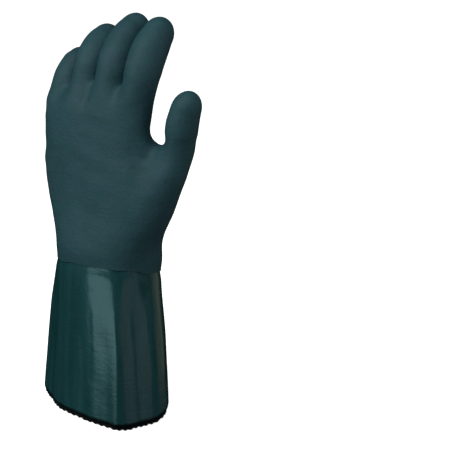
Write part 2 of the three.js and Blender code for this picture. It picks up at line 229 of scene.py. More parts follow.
# How finely the surfaces are divided before their subdivision.
SIDES = 36
HALF = SIDES // 2
WEB = 5
DIGIT_ROWS, TIP_ROWS, LINE_STEPS = 18, 7, 72
HEEL_ROWS, KNUCKLE_ROWS = 20, 16
CUFF_COLUMNS, CUFF_ROWS = 162, 44
TOOTH_COLUMNS, EDGE_ROWS, LINING_ROWS = 4, 5, 25
LIP_STEPS = 8
SMOOTH_LEVELS = 1

# Points of neighbouring grids that lie closer than this become one.
WELD_DISTANCE = 0.02 * MM

# The backdrop, in metres.
FLOOR_ROWS, BEND_ROWS, BACKDROP_COLUMNS = 8, 12, 96
FLOOR_HOLE, BEND_RADIUS, BACKDROP_TOP = 0.02, 1.0, 3.5
FLOOR_GLOW, WORLD_GLOW = 0.82, 0.25

# Soft lights: bearing (round and up, in degrees), distance and size in metres, and power as a share of the
# key light's.
LIGHTS = (
    {"name": "key", "bearing": (-26, 34), "distance": 1.6, "size": (0.9, 0.9), "share": 1.0},
    {"name": "top", "bearing": (20, 68), "distance": 1.3, "size": (0.9, 0.9), "share": 0.5},
    {"name": "fill", "bearing": (112, 15), "distance": 1.8, "size": (0.8, 1.2), "share": 0.35},
)

# Tinted lights for highlights, which light nothing that is matt. Their power is in watts.
STRIPS = (
    {
        "name": "cool_strip",
        "bearing": (-5.5, -19),
        "size": (0.8, 0.42),
        "watts": 1.6,
        "tint": (0.55, 0.95, 1.0),
    },
    {
        "name": "warm_strip",
        "bearing": (158, -20),
        "size": (0.6, 0.4),
        "watts": 0.14,
        "tint": (1.0, 0.97, 0.7),
    },
    {
        "name": "side_strip",
        "bearing": (80, -20),
        "size": (0.6, 0.4),
        "watts": 0.2,
        "tint": (0.9, 0.85, 1.0),
    },
)
STRIP_DISTANCE, LIGHTS_AIM = 1.0, 0.15

# The camera, 38 degrees round to the thumb's side, 22 degrees up and 1.10 m from its target, and the pixel
# of the square picture where the target is seen.
EYE, TARGET, TARGET_PIXEL = Vector((0.6279, -0.8037, 0.5771)), Vector((0, 0, 0.165)), (118.0, 221.5)
PICTURE_SIDE, SENSOR_WIDTH = 458, 36


def smooth(place, low, high):
    """Rises from nothing at low to one at high: three times the square less twice the cube of the share."""
    share = np.clip((place - low) / (high - low), 0, 1)
    return share * share * (3 - 2 * share)


def bell(away):
    """A bell curve: e to the power of less the square of the distance."""
    return np.exp(-away * away)


def along(table, key, name, place):
    """A column of a table at each place: cubics between the rows, whose slope at a row is the harmonic mean
    of the slopes beside it, or nothing where those differ in sign, so the curve never overshoots a row."""
    rows, values = np.array(table[key], float), np.array(table[name], float)
    steps = np.diff(values) / np.diff(rows)
    product = steps[:-1] * steps[1:]
    both = np.where(product > 0, steps[:-1] + steps[1:], 1)
    slopes = np.concatenate((steps[:1], np.where(product > 0, 2 * product / both, 0), steps[-1:]))
    i = np.clip(np.searchsorted(rows, place, side="right") - 1, 0, len(rows) - 2)
    span = rows[i + 1] - rows[i]
    t = np.clip((place - rows[i]) / span, 0, 1)
    between = values[i] + (values[i + 1] - values[i]) * t * t * (3 - 2 * t)
    return between + span * t * (1 - t) * (slopes[i] * (1 - t) - slopes[i + 1] * t)


def section_points(table, angle, height, inset=0.0):
    """Points of a level superellipse: the middle less the cosine of the angle times the half
    width across, and the root of one less its power times the half depth from back to palm, both
    taken in by the inset."""
    columns = ("left", "right", "depth", "shift", "square")
    left, right, depth, shift, square = (along(table, "height", name, height) for name in columns)
    sideways = -np.cos(angle)
    deep = -np.sign(np.sin(angle)) * np.clip(1 - np.abs(sideways) ** square, 0, 1) ** (1 / square)
    x = (left + right) / 2 + sideways * ((right - left) / 2 - inset)
    y = shift + deep * (depth / 2 - inset)
    return np.stack(np.broadcast_arrays(x, y, height), axis=-1)


def waves_round(table, angle, height=0.0):
    """The sum of a table's sine waves: each has so many crests round the glove, which drift with
    the height."""
    return sum(
        wave["height"] * np.sin(wave["count"] * angle + wave["start"] + wave["drift"] * height)
        for wave in table
    )


def lumps(points, kind):
    """An uneven height: the mean of sine waves in seeded directions and lengths, times the kind's
    own height."""
    draw = np.random.default_rng(kind["seed"])
    total = np.zeros(len(points))
    for length in kind["waves"]:
        way = draw.normal(size=3)
        way /= np.linalg.norm(way)
        total += np.sin(points @ way * (TURN / length) + draw.uniform(0, TURN))
    return kind["height"] * total / len(kind["waves"])


def creases_at(angle, height):
    """How far the creases stand out: a bell curve round each crease's angle, dying out up to the wrist."""
    angles, heights, spreads = (np.array(CREASES[name]) for name in ("angle", "height", "spread"))
    away = (np.degrees(angle)[..., None] - angles) / spreads
    return (1 - smooth(height, *CREASE_FADE)) * (heights * bell(away)).sum(-1)


def body_points(angle, height, inset=0.0):
    """The glove's body from hem to thumb crotch, creases and all, taken in by an inset."""
    return section_points(BODY, angle, height, inset - creases_at(angle, height))


def palm_points(angle, height):
    """The palm from the thumb crotch to the finger crotch."""
    return section_points(PALM, angle, height)


def coat_edge_at(angle):
    """The height of the coat's lower edge: a slope from palm to back by the sine of the angle, a lift, a
    bell curve that raises it towards the thumb's side of the back, and the small waves of a dipped edge."""
    turned = (np.degrees(angle) - EDGE_BELL_ANGLE + 180) % 360 - 180
    lift = EDGE_LIFT + EDGE_BELL * bell(turned / EDGE_BELL_SPREAD)
    return CUFF_LENGTH + COAT_EDGE_RISE * np.sin(angle) + lift + waves_round(EDGE_WAVES, angle)


def digit_rows(start_ring, base, digit, girths):
    """Rings from a level start ring to a round tip. The centre line is a direction summed in short steps
    and turned at three joints; each ring is an ellipse across it, and eases out of the shape of the start
    ring with the square of what is left of the base's share."""
    place = np.linspace(0, 1, LINE_STEPS + 1)[:, None]
    bent = smooth(place, JOINTS - JOINT_SPREAD, JOINTS + JOINT_SPREAD) @ np.array(digit["bends"], float)
    curl, lean = np.radians(bent), math.radians(digit["splay"])
    level = np.cos(curl)
    forward = np.stack((level * math.sin(lean), np.sin(curl), level * math.cos(lean)), axis=-1)
    across = np.array((math.cos(lean), 0, -math.sin(lean)))
    up = np.cross(across, forward)
    step = (digit["length"] - digit["depth"] / 2) / LINE_STEPS
    line = base + np.vstack((np.zeros(3), np.cumsum(forward[:-1], axis=0))) * step

    row = np.arange(1, DIGIT_ROWS + TIP_ROWS + 1)
    share = np.minimum(1, row / DIGIT_ROWS)
    at = np.rint(share * LINE_STEPS).astype(int)
    turn = np.maximum(0, row - DIGIT_ROWS) / (TIP_ROWS + 1) * math.pi / 2
    girth = along(girths, "place", "girth", share) * np.cos(turn)
    centre = line[at] + forward[at] * (digit["depth"] / 2 * np.sin(turn))[:, None]
    angle = np.arange(SIDES) * math.pi / HALF

    def ring(point, upward, size):
        wide = -np.cos(angle)[:, None] * across * (size * digit["width"] / 2)
        deep = np.sin(angle)[:, None] * upward * (size * digit["depth"] / 2)
        return point + wide + deep

    rings = ring(centre[:, None], up[at][:, None], girth[:, None, None])
    ease = np.clip(1 - share / BASE_SHARE, 0, 1) ** 2
    rings += (start_ring - ring(line[0], up[0], 1.0)) * ease[:, None, None]
    tip = line[-1] + forward[-1] * digit["depth"] / 2
    return np.concatenate((start_ring[None], rings)), tip


def level_ring(middle, width, depth):
    """A level ellipse: less the cosine of the angle times the half width across, and less the sine times
    the half depth, so it starts at the little finger's side and goes over the back."""
    angle = np.arange(SIDES) * math.pi / HALF
    flat = np.stack((-np.cos(angle) * width / 2, -np.sin(angle) * depth / 2, np.zeros(SIDES)), axis=-1)
    return middle + flat


def join_in_web(near, far, rise=0.0):
    """Two neighbouring rings come to share the points between them, at their means, in a saddle that drops
    with the square of the distance from its top, more on the back than in the palm. The top may rise."""
    steps = np.arange(-WEB, WEB + 1)
    shared = (near[HALF + steps] + far[-steps % SIDES]) / 2
    drop = np.where(steps < 0, BACK_WEB_DROP, PALM_WEB_DROP)
    shared[:, 2] += rise - drop * (steps / WEB) ** 2
    near[HALF + steps] = shared
    far[-steps % SIDES] = shared


def finger_rings():
    """The middles of the fingers' bases, side by side across the palm, and their rings, joined in webs."""
    total = sum(finger["width"] for finger in FINGERS)
    width = np.array([finger["width"] * (PALM_RIGHT - PALM_LEFT) / total for finger in FINGERS])
    across = PALM_LEFT + np.cumsum(width) - width / 2
    bases = [np.array((x, f["arch"], FINGER_CROTCH - f["drop"])) for x, f in zip(across, FINGERS)]
    rings = [level_ring(base, w, f["depth"]) for base, w, f in zip(bases, width, FINGERS)]
    for near, far in zip(rings, rings[1:]):
        join_in_web(near, far)
    return bases, rings


def thumb_and_heel(palm_ring):
    """The thumb's base and ring, joined in a web to the palm's ring, and the ring round both of them."""
    base = np.array((THUMB_RIGHT - THUMB["width"] / 2, THUMB_ARCH, THUMB_CROTCH))
    ring = level_ring(base, THUMB["width"], THUMB["depth"])
    half = len(palm_ring) // 2
    beside = palm_ring[half - HALF : half + HALF]
    join_in_web(beside, ring, THUMB_WEB_RISE)
    back, palm = palm_ring[: half - WEB + 1], palm_ring[half + WEB :]
    return base, ring, np.concatenate((back, ring[WEB + 1 : SIDES - WEB], palm))


def palm_top(rings):
    """The ring round the palm where the fingers part: over the back from the little finger, and
    home again."""
    last = len(rings) - 1
    back = [
        ring[(1 if j == 0 else WEB + 1) : (HALF if j == last else HALF - WEB + 1)]
        for j, ring in enumerate(rings)
    ]
    palm = [
        ring[HALF + (1 if j == last else WEB + 1) : SIDES - (WEB - 1 if j else 0)]
        for j, ring in enumerate(rings)
    ]
    return np.concatenate((rings[0][:1], *back, rings[last][HALF : HALF + 1], *palm[::-1]))


def angles_across(ring):
    """The angle of each point of a closed ring: the arc cosine of how far across it lies."""
    middle = len(ring) // 2
    left, right = ring[0, 0], ring[middle, 0]
    angle = np.arccos(np.clip(1 - 2 * (ring[:, 0] - left) / (right - left), -1, 1))
    return np.where(np.arange(len(ring)) <= middle, angle, TURN - angle)


def rows_between(lower, upper, surface, groove, rows):
    """Rings between two, on a surface. The two rings' own shapes fade out over a groove's length, with the
    square of what is left of it."""
    (low, low_angle), (high, high_angle) = lower, upper
    share = (np.arange(1, rows) / rows)[:, None]
    height = mix(low[:, 2], high[:, 2], share)
    points = surface(mix(low_angle, high_angle, share), height)
    below, above = low - surface(low_angle, low[:, 2]), high - surface(high_angle, high[:, 2])
    points += below * (np.clip(1 - (height - low[:, 2]) / groove, 0, 1) ** 2)[..., None]
    points += above * (np.clip(1 - (high[:, 2] - height) / groove, 0, 1) ** 2)[..., None]
    return points


def heel_grid(heel):
    """The coat from its edge to the heel of the hand: rows of the lip, which is taken in by what its wall
    lacks, and then rings up to the ring round palm and thumb."""
    even = np.arange(len(heel)) * TURN / len(heel)
    edge = coat_edge_at(even)
    inset = (COAT_WALL - LIP_WALL) * (1 - smooth(LIP_ROWS, 0, LIP_LENGTH))
    lip = [body_points(even, edge + rise, taken) for rise, taken in zip(LIP_ROWS, inset)]
    lip_top = body_points(even, edge + LIP_LENGTH)
    upper = (heel, angles_across(heel))
    rings = rows_between((lip_top, even), upper, body_points, THUMB_GROOVE, HEEL_ROWS)
    return np.concatenate((lip, lip_top[None], rings, heel[None]))


def coat_parts():
    """The coat's surface as grids that meet at shared rings: heel and palm, and the digits with
    their tips."""
    bases, rings = finger_rings()
    upper = palm_top(rings)
    angle = angles_across(upper)
    lower = palm_points(angle, np.full(len(upper), THUMB_CROTCH))
    thumb_base, thumb_ring, heel = thumb_and_heel(lower)
    between = rows_between((lower, angle), (upper, angle), palm_points, FINGER_GROOVE, KNUCKLE_ROWS)
    palm = np.concatenate((lower[None], between, upper[None]))
    digits = [digit_rows(ring, base, f, FINGER_GIRTH) for ring, base, f in zip(rings, bases, FINGERS)]
    digits.append(digit_rows(thumb_ring, thumb_base, THUMB, THUMB_GIRTH))
    return (heel_grid(heel), palm), digits


def grid_faces(rows, columns, start=0):
    """Faces of a grid that closes round its columns, anticlockwise from outside."""
    first = np.arange(rows - 1)[:, None] * columns + start
    a = (first + np.arange(columns)).ravel()
    b = (first + (np.arange(columns) + 1) % columns).ravel()
    return np.stack((a, b, b + columns, a + columns), axis=-1)


def coat_surface():
    """The points and faces of all the coat's grids. A fan of triangles round its tip closes each digit."""
    trunk, digits = coat_parts()
    points, faces, start = [], [], 0
    for grid, tip in [(grid, None) for grid in trunk] + digits:
        rows, columns = grid.shape[:2]
        points.append(grid.reshape(-1, 3))
        faces += grid_faces(rows, columns, start).tolist()
        start += rows * columns
        if tip is not None:
            around = np.arange(columns)
            last = start - columns
            fan = (last + around, last + (around + 1) % columns, np.full(columns, start))
            points.append(tip[None])
            faces += np.stack(fan, axis=-1).tolist()
            start += 1
    return np.concatenate(points), faces


def rounded_crotch(points):
    """The skin between thumb and palm, pushed out of a level bar that lies slantwise from back to
    palm in the crotch. The distance from its axis becomes the fifth root of the sum of its and the
    radius's fifth powers."""
    across = (points - CROTCH_MIDDLE) @ CROTCH_ACROSS
    above = points[:, 2] - CROTCH_MIDDLE[2]
    away = np.maximum(np.hypot(across, above), 0.01)
    push = ((away**5 + CROTCH_RADIUS**5) ** 0.2 - away) / away
    sideways = (across * push)[:, None] * CROTCH_ACROSS
    return points + sideways + (above * push)[:, None] * np.array((0, 0, 1))


def soft_zones(own):
    """Where the coat's parts meet, as masks over its points: the palm's start, the thumb's root, the
    outside of that root, the knuckles, and the skin round the bar in the crotch."""
    x, z = own[:, 0], own[:, 2]
    from_root = np.abs(z - THUMB_CROTCH)
    from_knuckles = np.abs(z - (FINGER_CROTCH - 14))
    from_bar = np.hypot((own - CROTCH_MIDDLE) @ CROTCH_ACROSS, z - CROTCH_MIDDLE[2])
    seam = (PALM_RIGHT + THUMB_RIGHT - THUMB["width"]) / 2
    from_seam = np.hypot(x - seam, z - THUMB_CROTCH - 8)
    anywhere = np.full(len(own), True)
    zones = {
        "start": (from_root, x < PALM_RIGHT - 20),
        "root": (from_root, from_seam > 15),
        "outer": (from_root, x > THUMB_RIGHT - 9),
        "knuckles": (from_knuckles, x < PALM_RIGHT + 5),
        "crotch": (from_bar, anywhere),
    }
    return {name: (away < SOFT_ZONES[name]["reach"]) & allowed for name, (away, allowed) in zones.items()}


def softened(own, edges):
    """Evens out the skin where the parts meet: in each round, every point of a zone moves half way to the
    mean of the points that share an edge with it."""
    near, far = edges.T
    count = np.bincount(edges.ravel(), minlength=len(own))[:, None]
    for name, chosen in soft_zones(own).items():
        for _ in range(SOFT_ZONES[name]["rounds"]):
            total = np.zeros_like(own)
            np.add.at(total, near, own[far])
            np.add.at(total, far, own[near])
            own[chosen] += 0.5 * (total / count - own)[chosen]
    return own


def grooves_in(points):
    """How deep the grooves between the fingers are: a bell curve across each, which fades in over the end
    of its drop and out at the finger crotch, on the back alone."""
    x, y, z = points.T
    place, drop, depth = (np.array(GROOVES[name]) for name in ("place", "drop", "depth"))
    end = FINGER_CROTCH - drop
    begun = smooth(z[:, None], end, end + GROOVE_FADE)
    ended = smooth(z, *GROOVE_TOP)
    across = (x[:, None] - place) / GROOVE_SPREAD
    return (begun * depth * bell(across)).sum(-1) * (1 - ended) * smooth(-y, -2, 7)


def coat_relief(points):
    """How far the coat stands proud or sinks: long and short lumps all over, sine waves across the
    back of the hand, folds in a bell curve round the wrist, and grooves between the fingers. It calms
    down in the lap."""
    x, y, z = points.T
    on_hand = smooth(z, *WRINKLE_START) * (1 - smooth(z, *WRINKLE_END))
    sway = z + 0.12 * x + 3 * np.sin(x / 13)
    patchy = smooth(-y, -5, 12) * on_hand * (0.5 + 0.5 * np.sin(x / 11 + 1))
    wrinkle = WRINKLE_HEIGHT * patchy * np.sin(sway * TURN / WRINKLE_LENGTH)
    slanted = (z + 0.18 * x) * TURN / FOLD_LENGTH + np.sin(x / 17)
    fold = FOLD_HEIGHT * bell((z - FOLD_MIDDLE) / FOLD_SPREAD) * np.sin(slanted)
    lap = mix(LAP_SHARE, 1, smooth(z, *LAP_END))
    uneven = lumps(points, SOFT_LUMPS) + lumps(points, FINE_LUMPS)
    return (uneven + wrinkle + fold) * lap - grooves_in(points)


def to_mesh(name, points, faces, uv=None):
    """A mesh object in metres from millimetre points. Its UV map, where it has one, is in millimetres."""
    mesh = bpy.data.meshes.new(name)
    mesh.from_pydata((points + GLOVE_PLACE) * MM, [], faces)
    if uv is not None:
        layer = mesh.uv_layers.new(name="surface")
        layer.data.foreach_set("uv", uv.astype(np.float32).ravel())
    mesh.update()
    made = bpy.data.objects.new(name, mesh)
    bpy.context.scene.collection.objects.link(made)
    return made


def read_rows(elements, name, columns=3, kind=float):
    """A property of a mesh's points or edges, as the rows of an array."""
    rows = np.empty(len(elements) * columns, kind)
    elements.foreach_get(name, rows)
    return rows.reshape(-1, columns)


def move_points(mesh, own):
    """Puts a mesh's points at places that are given on the glove's own axes."""
    mesh.vertices.foreach_set("co", ((own + GLOVE_PLACE) * MM).ravel())
    mesh.update()


def weld(mesh):
    """Makes one point of those that neighbouring grids share, and turns all the faces outwards."""
    work = bmesh.new()
    work.from_mesh(mesh)
    bmesh.ops.remove_doubles(work, verts=work.verts, dist=WELD_DISTANCE)
    bmesh.ops.recalc_face_normals(work, faces=work.faces)
    work.to_mesh(mesh)
    work.free()


def weigh_lip(coat, own):
    """A vertex group that grows in even steps from nothing at the coat's edge to one above its lip."""
    group = coat.vertex_groups.new(name="body")
    angle = np.arctan2(-own[:, 1], -own[:, 0]) % TURN
    step = np.rint(np.clip((own[:, 2] - coat_edge_at(angle)) / LIP_LENGTH, 0, 1) * LIP_STEPS)
    for level in np.unique(step):
        group.add(np.flatnonzero(step == level).tolist(), level / LIP_STEPS, "REPLACE")
    return group.name


def coat_object(relief):
    """The coat as one welded surface: softened where its parts meet, shifted to the thumb at the
    knuckles in a bell curve, and moved in and out along its normals by its relief. Its lip's vertex
    group comes with it."""
    points, faces = coat_surface()
    coat = to_mesh("rough_coat", rounded_crotch(points), faces)
    weld(coat.data)
    edges = read_rows(coat.data.edges, "vertices", 2, np.int32)
    own = softened(read_rows(coat.data.vertices, "co") / MM - GLOVE_PLACE, edges)
    move_points(coat.data, own)
    normals = read_rows(coat.data.vertices, "normal")
    own[:, 0] += KNUCKLE_SHIFT * bell((own[:, 2] - KNUCKLE_HEIGHT) / KNUCKLE_SPREAD)
    move_points(coat.data, own + normals * (coat_relief(own) * relief / MM)[:, None])
    return coat, weigh_lip(coat, own)


def finish_piece(made, wall, material, lip=None):
    """Gives a surface its wall inwards, thinner at a lip where it has one, smooths it, and dresses it."""
    made.data.materials.append(material)
    made.data.shade_smooth()
    solid = made.modifiers.new("wall", "SOLIDIFY")
    solid.thickness, solid.offset, solid.use_even_offset = wall, -1.0, False
    if lip is not None:
        solid.vertex_group = lip
        solid.thickness_vertex_group = LIP_WALL / COAT_WALL
    soft = made.modifiers.new("smooth", "SUBSURF")
    soft.levels = soft.render_levels = SMOOTH_LEVELS


def sleeve_object(name, grid):
    """A sleeve from a grid of rings, with a UV map of millimetres round and up."""
    rows, columns = grid.shape[:2]
    around = HEM_GIRTH * np.arange(columns + 1) / columns
    u = np.stack((around[:-1], around[1:], around[1:], around[:-1]), axis=-1)
    high = grid[:, :, 2]
    beside = np.roll(high, -1, axis=1)
    v = np.stack((high[:-1], beside[:-1], beside[1:], high[1:]), axis=-1)
    uv = np.stack((np.broadcast_to(u, v.shape), v), axis=-1).reshape(-1, 2)
    return to_mesh(name, grid.reshape(-1, 3), grid_faces(rows, columns).tolist(), uv)


def swell(angle, height):
    """How far the cuff and its lining fill out below the coat's edge, so the two skins look
    almost level."""
    return SWELL * smooth(coat_edge_at(angle) - height, 0, SWELL_LENGTH)


def cuff_grid():
    """The smooth cuff: the body's surface, taken in under the coat, with faint waves that run down
    its length, a narrow ridge and hollow in bell curves round their angles, and shallow dents, all
    below the wrist."""
    shape = (CUFF_ROWS, CUFF_COLUMNS)
    angle = np.broadcast_to(np.arange(CUFF_COLUMNS) * TURN / CUFF_COLUMNS, shape)
    share = np.linspace(0, 1, CUFF_ROWS)[:, None] ** 1.05
    height = np.broadcast_to(mix(LINING_SHOWS, CUFF_TOP, share), shape)
    loose = 1 - smooth(height, *CUFF_FADE)
    at = np.degrees(angle)
    from_ridge = at - RIDGE_ANGLE - (height - RIDGE_MIDDLE) * RIDGE_SLANT
    ridge = RIDGE_HEIGHT * bell(from_ridge / RIDGE_SPREAD)
    hollow = HOLLOW_DEPTH * bell((at - HOLLOW_ANGLE) / HOLLOW_SPREAD)
    plain = body_points(angle, height, CUFF_INSET).reshape(-1, 3)
    dents = lumps(plain, CUFF_DENTS).reshape(shape)
    out = loose * (waves_round(FLOW_WAVES, angle, height) + ridge - hollow + dents)
    return body_points(angle, height, CUFF_INSET - out - swell(angle, height))


def lining_grid():
    """The lining: a sleeve whose lower edge is pinked, a rounded sawtooth of the angle, and straightens
    above it. Its frill is a wave of the angle that dies out over the part that shows."""
    columns = TEETH * TOOTH_COLUMNS
    angle = np.broadcast_to(np.arange(columns) * TURN / columns, (EDGE_ROWS + LINING_ROWS, columns))
    tooth = (0.5 + 0.5 * np.cos(angle * TEETH)) ** TOOTH_ROUNDING * TOOTH_DEPTH
    shown = np.linspace(0, LINING_SHOWS, EDGE_ROWS)
    rise = np.concatenate((shown, np.linspace(LINING_EVEN, LINING_TOP, LINING_ROWS)))[:, None]
    height = np.maximum(0, mix(tooth, rise, np.clip(rise / LINING_SHOWS, 0, 1)))
    frill = waves_round(FRILL_WAVES, angle) * (1 - smooth(rise, 0, LINING_SHOWS))
    return body_points(angle, height, LINING_INSET - frill - swell(angle, height))


class Value:
    """A shader value. Python's operators on it add Math nodes."""

    def __init__(self, tree, socket):
        self.tree, self.socket = tree, socket

    def worked(self, operation, *terms, clamped=False):
        """The result of a Math node whose terms are numbers or values."""
        node = self.tree.nodes.new("ShaderNodeMath")
        node.operation, node.use_clamp = operation, clamped
        for entry, term in zip(node.inputs, terms):
            if isinstance(term, Value):
                self.tree.links.new(term.socket, entry)
            else:
                entry.default_value = term
        return Value(self.tree, node.outputs[0])

    def __add__(self, other):
        return self.worked("ADD", self, other)

    def __radd__(self, other):
        return self.worked("ADD", other, self)

    def __mul__(self, other):
        return self.worked("MULTIPLY", self, other)

    def __rmul__(self, other):
        return self.worked("MULTIPLY", other, self)

    def sine(self):
        """The sine of the value, in radians."""
        return self.worked("SINE", self)

    def size(self):
        """The value without its sign."""
        return self.worked("ABSOLUTE", self)

    def held(self):
        """The value kept between nothing and one."""
        return self.worked("ADD", self, 0.0, clamped=True)


class Finish:
    """A material being made: its nodes and its shader. Constants go on the shader's own sockets."""

    def __init__(self, name, **constants):
        self.material = bpy.data.materials.new(name)
        self.material.use_nodes = True
        self.tree = self.material.node_tree
        self.shader = self.tree.nodes["Principled BSDF"]
        for socket, value in constants.items():
            self.shader.inputs[socket.replace("_", " ")].default_value = value

    def node(self, kind, settings=(), values=()):
        """Adds a node of a kind: its settings first, then the values or links of its sockets."""
        made = self.tree.nodes.new(kind)
        for key, value in dict(settings).items():
            setattr(made, key, value)
        for key, value in dict(values).items():
            self.join(value, made.inputs[key])
        return made

    def join(self, value, socket):
        """Gives a socket a value, or a link from a value or another socket."""
        if isinstance(value, Value):
            self.tree.links.new(value.socket, socket)
        elif isinstance(value, bpy.types.NodeSocket):
            self.tree.links.new(value, socket)
        else:
            socket.default_value = value

    def parts(self, vector):
        """The three values of a vector."""
        split = self.node("ShaderNodeSeparateXYZ", values={"Vector": vector})
        return [Value(self.tree, socket) for socket in split.outputs]

    def place(self, which="Object"):
        """The place on the piece, on its Object coordinates or its UV map."""
        return self.node("ShaderNodeTexCoord").outputs[which]

    def noise(self, size_mm, detail, stretch=(1, 1, 1)):
        """Noise whose lumps are about this many millimetres apart, divided by the stretch along
        each axis."""
        where = {"Vector": self.place(), "Scale": stretch}
        spread = self.node("ShaderNodeMapping", values=where).outputs[0]
        settings = {"noise_dimensions": "3D"}
        values = {"Vector": spread, "Scale": 1 / (size_mm * MM), "Detail": detail, "Roughness": 0.55}
        return Value(self.tree, self.node("ShaderNodeTexNoise", settings, values).outputs["Fac"])

    def stepped(self, value, low, high):
        """The value as a mask that rises smoothly from low to high, or falls where high is the
        lower one."""
        settings = {"interpolation_type": "SMOOTHSTEP", "clamp": True}
        values = {"Value": value, "From Min": low, "From Max": high}
        return Value(self.tree, self.node("ShaderNodeMapRange", settings, values).outputs[0])

    def blend(self, share, one, two):
        """A colour a share of the way from one to another."""
        made = self.node("ShaderNodeMix", {"data_type": "RGBA", "clamp_factor": True})
        for socket, value in ((0, share), (6, one), (7, two)):
            value = (*value, 1) if isinstance(value, tuple) else value
            self.join(value, made.inputs[socket])
        return made.outputs[2]

    def bump(self, height, distance_mm, strength, over=None):
        """A normal tilted by a height, over another bump's normal where one is given."""
        values = {"Height": height, "Distance": distance_mm * MM, "Strength": strength}
        if over is not None:
            values["Normal"] = over
        return self.node("ShaderNodeBump", values=values).outputs[0]

    def give(self, **links):
        """Links what varies to the shader, and returns the finished material."""
        for socket, value in links.items():
            self.join(value, self.shader.inputs[socket.replace("_", " ")])
        return self.material


def shade_of(colour, factor):
    """A colour scaled by a factor, or by one factor for each channel."""
    factors = factor if isinstance(factor, tuple) else (factor,) * 3
    return tuple(c * f for c, f in zip(colour, factors))


def coat_finish(colour):
    """Matt rough PVC: a crust of fine sandy grains with dark pits, cloudy patches of colour that turn
    bluish and brownish in places, and soft brushed dents."""
    finish = Finish("rough_pvc_coat", Specular_IOR_Level=0.3)
    dull, pale = shade_of(colour, (0.8, 0.86, 0.86)), shade_of(colour, 1.12)
    bluish, brownish = shade_of(colour, (1.5, 0.9, 1.12)), shade_of(colour, (1.5, 1.04, 1.02))
    pit_colour = shade_of(colour, 0.55)

    cloud = finish.noise(26, 3)
    small = finish.noise(5, 3)
    grain = finish.noise(0.9, 2)
    speck = finish.noise(1.9, 1)
    drift = finish.noise(15, 3, stretch=(1, 1, 1.8))
    brushed = finish.noise(4.5, 3, stretch=(0.5, 0.5, 2.0))

    patches = finish.blend(finish.stepped(cloud, 0.35, 0.68), dull, pale)
    tinged = finish.blend(finish.stepped(drift, 0.42, 0.66) * 0.6, patches, bluish)
    mottled = finish.blend(finish.stepped(small, 0.3, 0.75) * 0.4, tinged, brownish)
    tone = finish.blend(finish.stepped(grain, 0.62, 0.42) * 0.4, mottled, pit_colour)
    rough = 0.56 + 0.14 * small + 0.1 * grain
    dents = finish.bump(cloud + 0.4 * small + 0.5 * brushed, 0.75, 0.7)
    sandy = finish.bump(grain + 0.5 * speck, 0.22, 0.8, dents)
    return finish.give(Base_Color=tone, Roughness=rough, Normal=sandy)


def cuff_finish(colour):
    """Smooth dipped PVC: glossy, with flow bands down its length, an orange-peel skin, fine level crinkles,
    a few dull scuffs, and painted shade that turns its lowest rim, along the hem, near black."""
    finish = Finish("smooth_pvc_cuff", Specular_IOR_Level=0.55, Coat_Weight=0.25, Coat_Roughness=0.16)
    dull, pale = shade_of(colour, (0.8, 0.86, 0.84)), shade_of(colour, 1.15)
    # The second colour here is painted shade for the cuff's lowest rim.
    clouded, painted_shade_colour = shade_of(colour, (1.2, 0.96, 1.05)), (0.002, 0.004, 0.005)

    bands = finish.noise(9, 2, stretch=(1, 1, 0.08))
    cloud = finish.noise(22, 3)
    peel = finish.noise(3.2, 2)
    crinkle = finish.noise(2.6, 2, stretch=(0.22, 0.22, 1))
    scuff = finish.stepped(finish.noise(8, 2), 0.58, 0.76)
    height = finish.parts(finish.place())[2]
    # Painted shade along the hem: a mask that is one below about 7.5 mm and nothing above about 10.5 mm,
    # its edge made ragged by the peel noise.
    painted_hem_shade = finish.stepped(height + 2.5 * MM * peel, 10.5 * MM, 7.5 * MM)

    streaks = finish.blend(finish.stepped(bands, 0.36, 0.64), dull, pale)
    clouds = finish.blend(finish.stepped(cloud, 0.4, 0.7) * 0.5, streaks, clouded)
    # Near the hem the colour turns nine tenths of the way to the painted shade.
    tone = finish.blend(painted_hem_shade * 0.9, clouds, painted_shade_colour)
    rough = 0.17 + 0.08 * cloud + 0.04 * bands + 0.1 * scuff
    wavy = finish.bump(0.45 * bands + 0.8 * cloud, 0.7, 0.5)
    skin = finish.bump(0.6 * peel + crinkle, 0.2, 0.55, wavy)
    return finish.give(Base_Color=tone, Roughness=rough, Normal=skin)


def lining_finish(colour):
    """Knitted cotton: columns of slanting stitches on the UV map's millimetres, fuzz, and raised
    threads that are lighter than the gaps. A stitch is a sine of the height, pushed up by the size of
    a sine across."""
    finish = Finish("knitted_cotton", Specular_IOR_Level=0.06, Sheen_Weight=0.03, Sheen_Roughness=0.5)
    column_mm, stitch_mm = 1.5, 1.1
    across, up, _ = finish.parts(finish.place("UV"))
    fuzz = finish.noise(0.5, 3)
    wale = (across * (TURN / column_mm)).sine()
    course = ((up + 0.35 * wale.size()) * (TURN / stitch_mm)).sine()
    stitch = (0.5 + 0.3 * course + 0.2 * wale.size()).held()
    tone = finish.blend(stitch, shade_of(colour, 0.45), shade_of(colour, 1.5))
    soft = finish.bump(stitch + 0.5 * fuzz, 0.3, 0.9)
    return finish.give(Base_Color=tone, Roughness=0.86 + 0.1 * fuzz, Normal=soft)


def length(name, about, default):
    """A property that holds a length in metres."""
    return FloatProperty(name=name, description=about, default=default, unit="LENGTH", subtype="DISTANCE")


def tint(name, about, default):
    """A property that holds a colour."""
    shown = {"size": 3, "subtype": "COLOR", "min": 0, "max": 1}
    return FloatVectorProperty(name=name, description=about, default=default, **shown)


class CoatSettings(bpy.types.PropertyGroup):
    """Sizes and colour of the rough coat"""

    wall: length("Wall", "Thickness of the rough coat", COAT_WALL * MM)
    relief: length("Relief", "What one millimetre of the coat's lumps and wrinkles comes to", 1 * MM)
    colour: tint("Colour", "Colour of the rough coat", (0.011, 0.058, 0.068))


class CuffSettings(bpy.types.PropertyGroup):
    """Size and colour of the smooth cuff"""

    wall: length("Wall", "Thickness of the smooth cuff", CUFF_WALL * MM)
    colour: tint("Colour", "Colour of the smooth cuff", (0.009, 0.050, 0.053))


